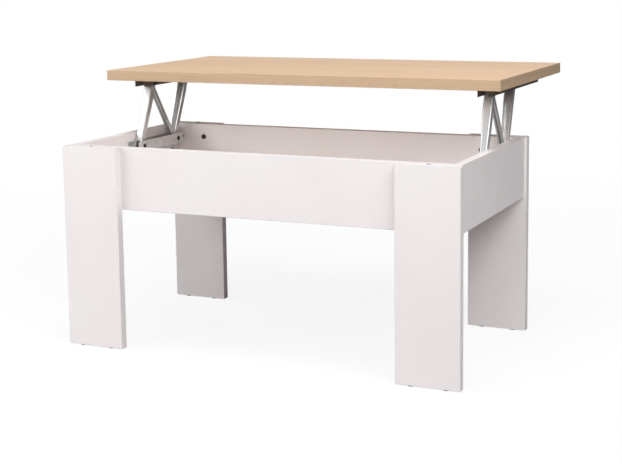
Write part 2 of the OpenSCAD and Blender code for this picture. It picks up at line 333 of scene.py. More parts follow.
@dataclass(frozen=True)
class Finish:
    """A surface finish. Its material is made once and shared."""

    name: str

    def material(self) -> bpy.types.Material:
        """Makes the material, or finds the one already made.

        Returns:
            The material.
        """
        found = bpy.data.materials.get(self.name)
        if found is not None:
            return found
        made = bpy.data.materials.new(self.name)
        made.use_nodes = True
        self.paint(Paint(made))
        return made

    def paint(self, paint: Paint) -> None:
        """Lays the nodes of the finish. Each finish has its own."""
        raise NotImplementedError


@dataclass(frozen=True)
class Melamine(Finish):
    """White melamine on chipboard: a fine pebbled press texture and a faint cloudiness."""

    colour: Colour = srgb(240, 235, 235)
    cloud: Colour = srgb(235, 228, 229)
    gloss_rough: float = 0.36
    worn_rough: float = 0.50
    cloud_scale: float = 3.2
    fibre_scale: float = 60.0
    smudge_scale: float = 9.0
    pebble_scale: float = 620.0
    pebble_depth: float = 0.05 * MM

    def paint(self, paint: Paint) -> None:
        """Clouds the colour, varies the gloss and presses the pebble into the surface.

        Args:
            paint: Tree of the material.
        """
        cloud = paint.noise(paint.place, self.cloud_scale, 4.0, 0.55)
        fibre = paint.noise(paint.stretched((3.0, 3.0, 0.6)), self.fibre_scale)
        paint.set("Base Color", paint.mix(paint.spread(cloud, 0.3, 0.7), self.colour, self.cloud))
        smudge = paint.noise(paint.place, self.smudge_scale, 6.0, 0.62, 0.6)
        paint.set("Roughness", paint.spread(smudge, 0.3, 0.75, self.gloss_rough, self.worn_rough))
        grain = paint.noise(paint.place, self.pebble_scale, 3.0, 0.6)
        paint.bump(paint.math("ADD", grain, paint.math("MULTIPLY", fibre, 0.5)), self.pebble_depth, 0.6)
        paint.set("Specular IOR Level", 0.45)


@dataclass(frozen=True)
class PlasticBand(Finish):
    """Plastic edge banding, smoother than the panel, with fine scraper marks."""

    colour: Colour = srgb(238, 233, 233)
    rough: float = 0.33
    mark_scale: float = 240.0
    mark_depth: float = 0.03 * MM
    tone_scale: float = 7.0

    def paint(self, paint: Paint) -> None:
        """Adds fine scraper marks and a faint change of tone.

        Args:
            paint: Tree of the material.
        """
        marks = paint.noise(paint.place, self.mark_scale, 2.0)
        tone = paint.noise(paint.place, self.tone_scale)
        darker: Colour = tuple(0.96 * value for value in self.colour)
        paint.set("Base Color", paint.mix(paint.spread(tone, 0.35, 0.7), self.colour, darker))
        paint.set("Roughness", paint.spread(tone, 0.3, 0.7, self.rough, self.rough + 0.08))
        paint.bump(marks, self.mark_depth, 0.5)


@dataclass(frozen=True)
class GlueLine(Finish):
    """The hairline of glue and dust where banding meets a panel face."""

    colour: Colour = srgb(176, 168, 164)
    dust_scale: float = 160.0
    rough: float = 0.7

    def paint(self, paint: Paint) -> None:
        """Breaks the line up with a fine noise.

        Args:
            paint: Tree of the material.
        """
        dust = paint.noise(paint.place, self.dust_scale, 4.0, 0.7)
        lighter: Colour = tuple(min(1.0, 1.35 * value) for value in self.colour)
        paint.set("Base Color", paint.mix(paint.spread(dust, 0.35, 0.65), self.colour, lighter))
        paint.set("Roughness", self.rough)


@dataclass(frozen=True)
class Oak(Finish):
    """Printed oak: broad tone bands, arched growth rings, fibres, pores and pale flecks along the grain."""

    light: Colour = srgb(238, 209, 181)
    mid: Colour = srgb(227, 196, 166)
    dark: Colour = srgb(203, 168, 136)
    pore: Colour = srgb(166, 130, 101)
    fleck: Colour = srgb(246, 225, 202)
    turn: float = 0.0
    arches: float = 1.0
    rough: float = 0.42
    band_scale: float = 6.0
    ripple_scale: float = 5.0
    ring_scale: float = 17.0
    ring_strength: float = 0.42
    arch_height: float = 0.16
    fibre_scale: float = 320.0
    streak_scale: float = 70.0
    pore_scale: float = 900.0
    fleck_scale: float = 46.0
    relief_depth: float = 0.06 * MM

    def along_grain(self, paint: Paint, squeeze: float) -> bpy.types.NodeSocket:
        """Coordinates drawn out along the grain, with X squeezed by a share."""
        return paint.stretched((squeeze, 1.0, 1.0), self.turn)

    def paint(self, paint: Paint) -> None:
        """Layers the figure of the wood from broad to fine.

        Args:
            paint: Tree of the material.
        """
        along = self.along_grain(paint, 0.10)
        band = paint.noise(along, self.band_scale, 3.0, 0.5, 0.3)
        ripple = paint.noise(self.along_grain(paint, 0.16), self.ripple_scale, 2.0, 0.45)
        shift = paint.node("ShaderNodeVectorMath", operation="MULTIPLY_ADD")
        paint.feed(shift.inputs[0], ripple)
        shift.inputs[1].default_value = (0.0, self.arch_height * self.arches, 0.0)
        paint.feed(shift.inputs[2], along)
        rings = paint.node("ShaderNodeTexWave", wave_type="BANDS", bands_direction="Y", wave_profile="SAW")
        paint.feed(rings.inputs["Vector"], shift.outputs[0])
        rings.inputs["Scale"].default_value = self.ring_scale
        rings.inputs["Distortion"].default_value = 0.5
        rings.inputs["Detail"].default_value = 3.0
        rings.inputs["Detail Scale"].default_value = 1.4
        fibres = paint.noise(self.along_grain(paint, 0.022), self.fibre_scale, 5.0, 0.65)
        streaks = paint.noise(self.along_grain(paint, 0.05), self.streak_scale, 4.0, 0.6)
        pores = paint.noise(self.along_grain(paint, 0.045), self.pore_scale, 2.0)
        flecks = paint.noise(self.along_grain(paint, 0.16), self.fleck_scale, 3.0, 0.5, 0.4)
        tone = paint.mix(paint.spread(band, 0.3, 0.72), self.light, self.mid)
        ring = paint.spread(rings.outputs["Fac"], 0.2, 1.0)
        ring_share = paint.math("MULTIPLY", ring, self.ring_strength)
        tone = paint.mix(ring_share, tone, self.dark)
        tone = paint.mix(paint.spread(streaks, 0.45, 0.8, 0.0, 0.45), tone, self.dark)
        tone = paint.mix(paint.spread(fibres, 0.5, 0.85, 0.0, 0.38), tone, self.dark)
        tone = paint.mix(paint.spread(flecks, 0.62, 0.75, 0.0, 0.5), tone, self.fleck)
        pore_share = paint.spread(pores, 0.66, 0.74, 0.0, 0.55)
        paint.set("Base Color", paint.mix(pore_share, tone, self.pore))
        paint.set("Roughness", paint.spread(fibres, 0.3, 0.8, self.rough, self.rough + 0.12))
        relief = paint.math("SUBTRACT", paint.math("MULTIPLY", fibres, 0.6), pore_share)
        paint.bump(relief, self.relief_depth, 0.7)
        paint.set("Specular IOR Level", 0.22)


@dataclass(frozen=True)
class OakBand(Oak):
    """Oak edge banding, a little deeper in tone than the face, with straight grain."""

    light: Colour = srgb(206, 180, 152)
    mid: Colour = srgb(195, 166, 136)
    dark: Colour = srgb(175, 141, 111)
    pore: Colour = srgb(140, 106, 80)
    fleck: Colour = srgb(219, 196, 169)
    arches: float = 0.0
    rough: float = 0.38


@dataclass(frozen=True)
class Metal(Finish):
    """Plated or bare sheet steel, with cloudy plating and fine rolling lines along one axis."""

    colour: Colour = srgb(230, 231, 232)
    tint: Colour = srgb(214, 216, 217)
    rough: float = 0.37
    dull: float = 0.50
    metallic: float = 0.74
    line_scale: tuple[float, float, float] = (1.0, 1.0, 0.05)
    cloud_scale: float = 46.0
    fine_scale: float = 420.0
    line_count: float = 900.0
    line_depth: float = 0.02 * MM

    def paint(self, paint: Paint) -> None:
        """Mottles the plating and rolls the lines into it.

        Args:
            paint: Tree of the material.
        """
        cloud = paint.noise(paint.place, self.cloud_scale, 5.0, 0.6, 0.4)
        fine = paint.noise(paint.place, self.fine_scale, 3.0, 0.6)
        paint.set("Base Color", paint.mix(paint.spread(cloud, 0.3, 0.7), self.colour, self.tint))
        paint.set("Metallic", self.metallic)
        paint.set("Roughness", paint.spread(cloud, 0.3, 0.75, self.rough, self.dull))
        lines = paint.noise(paint.stretched(self.line_scale), self.line_count, 2.0)
        paint.bump(paint.math("ADD", lines, paint.math("MULTIPLY", fine, 0.6)), self.line_depth, 0.5)


@dataclass(frozen=True)
class PowderCoat(Finish):
    """Dark powder coat, with an orange-peel skin and paler rubbed spots."""

    colour: Colour = srgb(104, 92, 83)
    rubbed: Colour = srgb(126, 115, 106)
    rough: float = 0.38
    rub_scale: float = 34.0
    skin_scale: float = 520.0
    skin_depth: float = 0.08 * MM

    def paint(self, paint: Paint) -> None:
        """Lays the skin and the rubbed spots.

        Args:
            paint: Tree of the material.
        """
        rub = paint.noise(paint.place, self.rub_scale, 5.0, 0.65)
        paint.set("Base Color", paint.mix(paint.spread(rub, 0.5, 0.75), self.colour, self.rubbed))
        paint.set("Roughness", paint.spread(rub, 0.3, 0.7, self.rough, self.rough + 0.14))
        paint.bump(paint.noise(paint.place, self.skin_scale, 2.0), self.skin_depth, 0.6)
        paint.set("Specular IOR Level", 0.5)


@dataclass(frozen=True)
class Moulded(Finish):
    """Moulded plastic or rubber with a fine spark-eroded grain."""

    colour: Colour = srgb(236, 233, 232)
    rough: float = 0.42
    tone_scale: float = 30.0
    grain_scale: float = 900.0
    grain_depth: float = 0.04 * MM

    def paint(self, paint: Paint) -> None:
        """Varies the tone a little and adds the grain.

        Args:
            paint: Tree of the material.
        """
        tone = paint.noise(paint.place, self.tone_scale, 4.0)
        darker: Colour = tuple(0.9 * value for value in self.colour)
        paint.set("Base Color", paint.mix(paint.spread(tone, 0.4, 0.7), self.colour, darker))
        paint.set("Roughness", paint.spread(tone, 0.3, 0.7, self.rough, self.rough + 0.1))
        paint.bump(paint.noise(paint.place, self.grain_scale, 2.0), self.grain_depth, 0.6)


@dataclass(frozen=True)
class Fibreboard(Finish):
    """Pressed fibre board: matted fibres, bare or under thin lacquer."""

    colour: Colour = srgb(232, 228, 226)
    fibre: Colour = srgb(222, 216, 212)
    rough: float = 0.5
    mat_scale: float = 260.0
    mat_depth: float = 0.08 * MM

    def paint(self, paint: Paint) -> None:
        """Mats the fibres with a stretched, bent noise.

        Args:
            paint: Tree of the material.
        """
        mat = paint.noise(paint.stretched((1.0, 0.55, 1.0)), self.mat_scale, 5.0, 0.7, 1.2)
        paint.set("Base Color", paint.mix(paint.spread(mat, 0.35, 0.7), self.colour, self.fibre))
        paint.set("Roughness", paint.spread(mat, 0.3, 0.7, self.rough, self.rough + 0.15))
        paint.bump(mat, self.mat_depth, 0.5)


@dataclass(frozen=True)
class Finishes:
    """Every finish of the table."""

    panel: Finish = Melamine("panel_melamine")
    band: Finish = PlasticBand("panel_band")
    glue: Finish = GlueLine("panel_glue_line")
    oak: Finish = Oak("oak_face")
    oak_long: Finish = OakBand("oak_band_long")
    oak_short: Finish = OakBand("oak_band_short", turn=math.pi / 2)
    oak_glue: Finish = GlueLine("oak_glue_line", colour=srgb(150, 118, 90))
    zinc: Finish = Metal("zinc_sheet")
    bracket: Finish = Metal("zinc_bracket", line_scale=(1.0, 0.05, 1.0))
    coat: Finish = PowderCoat("dark_coat")
    fastener: Finish = Metal(
        "blackened_steel",
        colour=srgb(84, 82, 80),
        tint=srgb(60, 58, 57),
        rough=0.32,
        dull=0.5,
        metallic=0.9,
    )
    screw: Finish = Metal("plated_screw", colour=srgb(176, 178, 182), tint=srgb(150, 152, 156))
    cap: Finish = Moulded("cap_plastic")
    washer: Finish = Moulded("washer_nylon", colour=srgb(62, 60, 58), rough=0.40)
    pad: Finish = Moulded("pad_rubber", colour=srgb(178, 178, 176), rough=0.55)
    glide: Finish = Moulded("glide_plastic", colour=srgb(70, 68, 66), rough=0.48)
    board_face: Finish = Fibreboard("hardboard_face")
    board_back: Finish = Fibreboard(
        "hardboard_back",
        colour=srgb(138, 98, 66),
        fibre=srgb(112, 76, 50),
        rough=0.62,
    )
    dowel: Finish = Oak(
        "beech_dowel",
        light=srgb(214, 176, 132),
        mid=srgb(203, 162, 118),
        dark=srgb(180, 138, 98),
        arches=0.0,
        rough=0.5,
    )


FINISHES = Finishes()


# ---- meshes ----------------------------------------------------------------


def piece(name: str, shape: bmesh.types.BMesh, finishes: Sequence[Finish]) -> bpy.types.Object:
    """Makes an object of a finished bmesh, at the origin, with a slot for each finish.

    Args:
        name: Name of the object.
        shape: The shape, in the frame, which is freed.
        finishes: Finishes in the order of the faces' material numbers.

    Returns:
        The object, linked to the scene.
    """
    mesh = bpy.data.meshes.new(name)
    shape.to_mesh(mesh)
    shape.free()
    for finish in finishes:
        mesh.materials.append(finish.material())
    made = bpy.data.objects.new(name, mesh)
    bpy.context.scene.collection.objects.link(made)
    return made


def baked(obj: bpy.types.Object) -> bpy.types.Object:
    """Turns an object's modifiers into plain mesh.

    Args:
        obj: The object, whose modifiers are removed.

    Returns:
        The same object.
    """
    bpy.context.view_layer.update()
    graph = bpy.context.evaluated_depsgraph_get()
    made = bpy.data.meshes.new_from_object(
        obj.evaluated_get(graph), preserve_all_data_layers=True, depsgraph=graph
    )
    obj.modifiers.clear()
    old = obj.data
    obj.data = made
    made.name = obj.name
    bpy.data.meshes.remove(old)
    return obj


def evened(obj: bpy.types.Object, keep_sharp: bool = False) -> bpy.types.Object:
    """Shades an object smooth, with broad faces kept flat, and bakes it.

    Args:
        obj: The object.
        keep_sharp: Whether edges marked sharp stay so.

    Returns:
        The same object.
    """
    for polygon in obj.data.polygons:
        polygon.use_smooth = True
    weighted = obj.modifiers.new("shade", "WEIGHTED_NORMAL")
    weighted.weight = 100
    weighted.keep_sharp = keep_sharp
    return baked(obj)


def rounded(obj: bpy.types.Object, radius: float, limit: float = 40.0) -> bpy.types.Object:
    """Rounds the sharp edges of an object and evens its shading.

    Args:
        obj: The object.
        radius: Radius of the edges, in metres.
        limit: Smallest angle that counts as sharp, in degrees.

    Returns:
        The same object, baked.
    """
    edge = obj.modifiers.new("edge", "BEVEL")
    edge.width = radius
    edge.segments = 2
    edge.limit_method = "ANGLE"
    edge.angle_limit = math.radians(limit)
    edge.use_clamp_overlap = True
    return evened(obj, keep_sharp=True)


def attach(obj: bpy.types.Object, body: str, nodes: Iterable[str]) -> bpy.types.Object:
    """Seats a finished piece on its body, in place of its CAD nodes.

    Args:
        obj: The piece.
        body: The body it rides on.
        nodes: The CAD nodes it stands for.

    Returns:
        The piece.
    """
    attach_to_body(obj, body)
    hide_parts(*nodes)
    LOG.info("%s: %d faces on %s", obj.name, len(obj.data.polygons), body)
    return obj


def box_shape(low: Vector, high: Vector) -> bmesh.types.BMesh:
    """Makes a box between two corners.

    Args:
        low: Lowest corner.
        high: Highest corner.

    Returns:
        The box.
    """
    shape = bmesh.new()
    size = high - low
    place = Matrix.Translation((low + high) / 2) @ Matrix.Diagonal((*size, 1.0))
    bmesh.ops.create_cube(shape, size=1.0, matrix=place)
    return shape


def inset_ring(shape: bmesh.types.BMesh, face: bmesh.types.BMFace, width: float, number: int) -> None:
    """Insets one face and gives the ring round it a material number.

    Args:
        shape: The shape.
        face: The face, which shrinks.
        width: Width of the ring, in metres.
        number: The ring's material number.
    """
    ring = bmesh.ops.inset_region(shape, faces=[face], thickness=width, use_even_offset=True)["faces"]
    for part in ring:
        part.material_index = number


def broad_faces(shape: bmesh.types.BMesh, thin: Axis) -> list[bmesh.types.BMFace]:
    """The faces of a flat shape that look along its thin axis."""
    return [face for face in shape.faces if abs(face.normal[thin.value]) > FACING]


def solids(node: bpy.types.Object) -> list[tuple[Vector, Vector]]:
    """Boxes of the separate solids of a CAD node.

    Args:
        node: The node's object.

    Returns:
        The lowest and highest corner of each solid, in a fixed order.
    """
    shape = bmesh.new()
    shape.from_mesh(node.data)
    bmesh.ops.remove_doubles(shape, verts=shape.verts, dist=WELD)
    seen: set[bmesh.types.BMVert] = set()
    found = []
    for start in shape.verts:
        if start in seen:
            continue
        seen.add(start)
        group, queue = [start], [start]
        while queue:
            for edge in queue.pop().link_edges:
                for vert in edge.verts:
                    if vert not in seen:
                        seen.add(vert)
                        group.append(vert)
                        queue.append(vert)
        low = Vector([min(v.co[i] for v in group) for i in range(3)])
        high = Vector([max(v.co[i] for v in group) for i in range(3)])
        found.append((low, high))
    shape.free()
    return sorted(found, key=lambda pair: tuple(round(value, 5) for value in pair[0]))


def softened(frame: dict, node: str, radius: float, finish: Finish) -> bpy.types.Object:
    """Copies a CAD node's shape, welds it and rounds its edges.

    Args:
        frame: The loaded frame.
        node: Name of the node.
        radius: Radius of the edges, in metres.
        finish: Its finish.

    Returns:
        The new object.
    """
    shape = bmesh.new()
    shape.from_mesh(frame["nodes"][node].data)
    bmesh.ops.remove_doubles(shape, verts=shape.verts, dist=WELD)
    bmesh.ops.dissolve_limit(
        shape, angle_limit=FLAT_TURN, verts=shape.verts, edges=shape.edges, delimit={"NORMAL"}
    )
    for face in shape.faces:
        face.material_index = 0
    return rounded(piece(f"{node}_looks", shape, [finish]), radius)


# ---- panels ----------------------------------------------------------------


@dataclass
class Panel:
    """A melamine panel with banded edges, in place of one CAD node."""

    node: str
    thin: Axis
    band: float = 0.8 * MM
    glue: float = 0.2 * MM
    edge_round: float = 0.55 * MM
    body: str = "box"
    slot: str = "white_panel"

    def shape(self) -> bmesh.types.BMesh:
        """Makes the panel: broad faces, a glue line and banding round them.

        Returns:
            The shape, with its outer edges rounded.
        """
        low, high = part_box(self.node)
        shape = box_shape(low, high)
        for face in shape.faces:
            face.material_index = 1
        for face in broad_faces(shape, self.thin):
            inset_ring(shape, face, self.band, 1)
            inset_ring(shape, face, self.glue, 2)
            face.material_index = 0
        sharp = [e for e in shape.edges if e.calc_face_angle(0.0) > 0.5]
        bmesh.ops.bevel(
            shape, geom=sharp, offset=self.edge_round, segments=3, profile=0.5, affect="EDGES", material=1
        )
        return shape

    def build(self) -> bpy.types.Object:
        """Builds the panel and seats it.

        Returns:
            The piece.
        """
        made = piece(f"{self.node}_panel", self.shape(), [FINISHES.panel, FINISHES.band, FINISHES.glue])
        return attach(evened(made), self.body, [self.node])


@dataclass
class PanelBox:
    """The box on four legs: legs, aprons, side panels and the bottom board."""

    bottom_round: float = 0.3 * MM

    def panels(self) -> list[Panel]:
        """Lists the panels with the axis that each is thin along.

        Returns:
            The panels.
        """
        ends = ("front", "rear")
        legs = [Panel(f"leg_{end}_{side.label}", Axis.Y) for end in ends for side in Side]
        aprons = [Panel(f"apron_{end}", Axis.Y) for end in ends]
        sides = [Panel(f"side_panel_{side.label}", Axis.X) for side in Side]
        return legs + aprons + sides

    def bottom(self) -> bpy.types.Object:
        """Builds the bottom board: lacquered above, bare fibre below and on its edges.

        Returns:
            The piece.
        """
        low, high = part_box("bottom_board")
        shape = box_shape(low, high)
        for face in shape.faces:
            face.material_index = 0 if face.normal.z > 0.5 else 1
        made = piece("bottom_board_sheet", shape, [FINISHES.board_face, FINISHES.board_back])
        return attach(rounded(made, self.bottom_round), "box", ["bottom_board"])

    def build(self) -> list[bpy.types.Object]:
        """Builds every panel and the bottom board."""
        return [panel.build() for panel in self.panels()] + [self.bottom()]


# ---- board -----------------------------------------------------------------


@dataclass
class OakBoard:
    """The table top: a decor-faced core inside a ring of edge banding."""

    body: str = "top"
    glue: float = 0.15 * MM
    edge_round: float = 0.7 * MM

    def core(self) -> bpy.types.Object:
        """Builds the core, with a hairline where the banding meets it.

        Returns:
            The piece.
        """
        low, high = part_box("top_board")
        shape = box_shape(low, high)
        for face in shape.faces:
            face.material_index = 1
        for face in broad_faces(shape, Axis.Z):
            inset_ring(shape, face, self.glue, 1)
            face.material_index = 0
        made = piece("board_core", shape, [FINISHES.oak, FINISHES.oak_glue])
        return attach(made, self.body, ["top_board"])

    def banding(self) -> bpy.types.Object:
        """Builds the ring of banding, mitred at its corners, with rounded outer edges.

        Returns:
            The piece.
        """
        low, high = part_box("edge_banding")
        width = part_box("top_board")[0].x - low.x
        shape = box_shape(low, high)
        loops = []
        for face in broad_faces(shape, Axis.Z):
            inset_ring(shape, face, width, 0)
            loops.append(list(face.edges))
            bmesh.ops.delete(shape, geom=[face], context="FACES_ONLY")
        bmesh.ops.bridge_loops(shape, edges=loops[0] + loops[1])
        bmesh.ops.recalc_face_normals(shape, faces=shape.faces)
        for face in shape.faces:
            middle = face.calc_center_median()
            on_short = min(middle.x - low.x, high.x - middle.x) < width
            face.material_index = 1 if on_short else 0
        outer = [e for e in shape.edges if self.is_outer(e, low, high)]
        bmesh.ops.bevel(shape, geom=outer, offset=self.edge_round, segments=3, profile=0.5, affect="EDGES")
        made = piece("board_banding", shape, [FINISHES.oak_long, FINISHES.oak_short])
        return attach(evened(made), self.body, ["edge_banding"])

    @staticmethod
    def is_outer(edge: bmesh.types.BMEdge, low: Vector, high: Vector) -> bool:
        """True for an edge that lies on two outer sides of the board.

        Args:
            edge: The edge.
            low: Lowest corner of the board.
            high: Highest corner of the board.

        Returns:
            Whether the edge is an outer one.
        """
        sides = 0
        for i in range(3):
            for limit in (low[i], high[i]):
                if all(abs(v.co[i] - limit) < WELD for v in edge.verts):
                    sides += 1
        return sides >= 2

    def build(self) -> list[bpy.types.Object]:
        """Builds the core and its banding."""
        return [self.core(), self.banding()]


# ---- sheet steel -----------------------------------------------------------


def bent_path(corners: Sequence[Vector], radius: float, steps: int = 5) -> list[Vector]:
    """Rounds the inner corners of a path.

    Args:
        corners: Points of the path, ends included.
        radius: Radius of each bend.
        steps: Facets in a bend.

    Returns:
        The points of the rounded path.
    """
    path = [corners[0].copy()]
    for before, corner, after in zip(corners, corners[1:], corners[2:]):
        back = (before - corner).normalized()
        ahead = (after - corner).normalized()
        centre = corner + (back + ahead) * radius
        for i in range(steps + 1):
            angle = math.pi / 2 * i / steps
            path.append(centre - ahead * radius * math.cos(angle) - back * radius * math.sin(angle))
    path.append(corners[-1].copy())
    return path


@dataclass
class BentSheet:
    """A sheet folded in the plane of X and Z and drawn out along Y."""

    name: str
    sheet: float
    bend: float
    finish: Finish
    edge_round: float = 0.35 * MM
    rows: int = 10
    runs: list[tuple[list[Vector], float, float]] = field(default_factory=list)

    def add(self, corners: Sequence[tuple[float, float]], start: float, end: float) -> "BentSheet":
        """Adds a folded run.

        Args:
            corners: X and Z of the middle of the sheet at its ends and bends.
            start: Y at which the run starts.
            end: Y at which it ends.

        Returns:
            This sheet.
        """
        points = [Vector((x, 0.0, z)) for x, z in corners]
        self.runs.append((bent_path(points, self.bend), start, end))
        return self

    def build(self) -> bpy.types.Object:
        """Draws out each run, thickens it and rounds its edges.

        Returns:
            The baked object.
        """
        shape = bmesh.new()
        for path, start, end in self.runs:
            grid = []
            for i in range(self.rows + 1):
                y = start + (end - start) * i / self.rows
                grid.append([shape.verts.new((p.x, y, p.z)) for p in path])
            for near, far in zip(grid, grid[1:]):
                for a, b, c, d in zip(near, near[1:], far[1:], far):
                    shape.faces.new((a, b, c, d))
        bmesh.ops.recalc_face_normals(shape, faces=shape.faces)
        made = piece(self.name, shape, [self.finish])
        return rounded(thickened(made, self.sheet), self.edge_round, FOLD_TURN)


def thickened(obj: bpy.types.Object, sheet: float) -> bpy.types.Object:
    """Gives an open surface its sheet thickness, half to each side, and bakes it.

    Args:
        obj: The object, an open surface in the middle of its sheet.
        sheet: Thickness, in metres.

    Returns:
        The same object.
    """
    wall = obj.modifiers.new("sheet", "SOLIDIFY")
    wall.thickness = sheet
    wall.offset = 0.0
    wall.use_even_offset = True
    wall.use_quality_normals = True
    return baked(obj)


@dataclass
class Arm:
    """A pressed channel arm: flanges with round ends, and a web that stops short of the lower pivot."""

    side: Side
    place: str
    foot: Vector
    reach: Vector
    web_side: int
    low_width: float = 16.0 * MM
    depth: float = 14.0 * MM
    sheet: float = 1.8 * MM
    bend: float = 2.2 * MM
    edge_round: float = 0.3 * MM
    web_start: float = 3.0 * MM
    web_gap: float = 3.0 * MM
    head_gap: float = 1.5 * MM
    widen_from: float = 0.2
    widen_to: float = 0.75
    rows: int = 22
    flange_cuts: int = 8
    bend_cuts: int = 4
    web_cuts: int = 4
    round_cuts: int = 6

    @property
    def node(self) -> str:
        """Name of the arm's CAD node, which is its body's name too."""
        return f"arm_{self.place}_{self.side.label}"

    def inner(self, height: float) -> float:
        """Distance from the table's middle to the arm's inner face at a height along it.

        Args:
            height: Height along the arm, from its foot.

        Returns:
            The distance, in metres.
        """
        low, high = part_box(self.node)
        edges = sorted((abs(low.x), abs(high.x)))
        share = (height / self.reach.length - self.widen_from) / (self.widen_to - self.widen_from)
        share = min(1.0, max(0.0, share))
        return edges[1] - self.low_width + share * (edges[0] - edges[1] + self.low_width)

    def outer(self) -> float:
        """Distance from the table's middle to the arm's outer face."""
        low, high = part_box(self.node)
        return max(abs(low.x), abs(high.x))

    def heights(self) -> list[tuple[float, float, float]]:
        """Rows of the surface from foot to head.

        Returns:
            For each row its height along the arm, how far its end is rounded
            (-1 at the foot's end, 1 at the head's) and how far its bends are formed.
        """
        length = self.reach.length
        start = self.depth / 2 + self.web_start
        rounds = [math.sin(math.pi / 2 * (1 - i / self.round_cuts)) for i in range(self.round_cuts)]
        rows = [(0.0, -k, 0.0) for k in rounds] + [(0.0, 0.0, 0.0), (start - self.web_gap, 0.0, 0.0)]
        web = length - start - self.head_gap
        rows += [(start + web * i / self.rows, 0.0, 1.0) for i in range(self.rows + 1)]
        return rows + [(length, 0.0, 0.0)] + [(length, k, 0.0) for k in reversed(rounds)]

    def flange_section(self, face: float, inward: float, formed: float) -> list[tuple[float, float]]:
        """X and Y of one flange and its bend, from its free edge to the web.

        Args:
            face: Middle of the flange's sheet along X.
            inward: 1 when the web lies at greater X, and -1 otherwise.
            formed: 1 where the bend is formed and 0 where the flange is flat.

        Returns:
            The points.
        """
        radius = self.depth / 2
        bend_y = radius - self.sheet / 2 - self.bend
        points = []
        for i in range(self.flange_cuts + 1):
            points.append((face, -radius + (bend_y + radius) * i / self.flange_cuts))
        for i in range(1, self.bend_cuts + 1):
            angle = math.pi / 2 * i / self.bend_cuts
            round_x = face + inward * self.bend * (1 - math.cos(angle))
            round_y = bend_y + self.bend * math.sin(angle)
            flat_y = bend_y + (radius - bend_y) * i / self.bend_cuts
            points.append((face + (round_x - face) * formed, flat_y + (round_y - flat_y) * formed))
        return [(x, y * self.web_side) for x, y in points]

    def row(self, height: float, ended: float, formed: float) -> list[Vector]:
        """Points of one row, from the inner flange over the web to the outer flange.

        Args:
            height: Height along the arm.
            ended: How far its end is rounded, -1 to 1.
            formed: 1 where its bends are formed and 0 where its flanges are flat.

        Returns:
            The points, in the frame.
        """
        half = self.sheet / 2
        near = self.flange_section(self.inner(height) + half, 1.0, formed)
        far = self.flange_section(self.outer() - half, -1.0, formed)
        web = []
        for i in range(1, self.web_cuts):
            share = i / self.web_cuts
            web.append(tuple(a + (b - a) * share for a, b in zip(near[-1], far[-1])))
        up = self.reach.normalized()
        across = up.cross(Vector((1.0, 0.0, 0.0))).normalized() * -1.0
        points = []
        for x, y in near + web + list(reversed(far)):
            end = ended * math.sqrt(max(0.0, (self.depth / 2) ** 2 - y * y))
            flat = Vector((x * self.side.value, self.foot.y, self.foot.z))
            points.append(flat + across * -y + up * (height + end))
        return points

    def build(self) -> bpy.types.Object:
        """Builds the arm and seats it on its own body.

        Returns:
            The piece.
        """
        shape = bmesh.new()
        rows = self.heights()
        grid = [[shape.verts.new(point) for point in self.row(*row)] for row in rows]
        last = len(grid[0]) - 1
        first_web = self.flange_cuts + self.bend_cuts
        for i, (near, far) in enumerate(zip(grid, grid[1:])):
            formed = rows[i][2] > 0.5 and rows[i + 1][2] > 0.5
            for j in range(last):
                in_web = first_web <= j < last - first_web
                if formed or not in_web:
                    shape.faces.new((near[j], near[j + 1], far[j + 1], far[j]))
        loose = [v for v in shape.verts if not v.link_faces]
        bmesh.ops.delete(shape, geom=loose, context="VERTS")
        bmesh.ops.remove_doubles(shape, verts=shape.verts, dist=10 * WELD)
        bmesh.ops.recalc_face_normals(shape, faces=shape.faces)
        made = thickened(piece(f"{self.node}_channel", shape, [FINISHES.zinc]), self.sheet)
        return attach(rounded(made, self.edge_round, FOLD_TURN), self.node, [self.node])


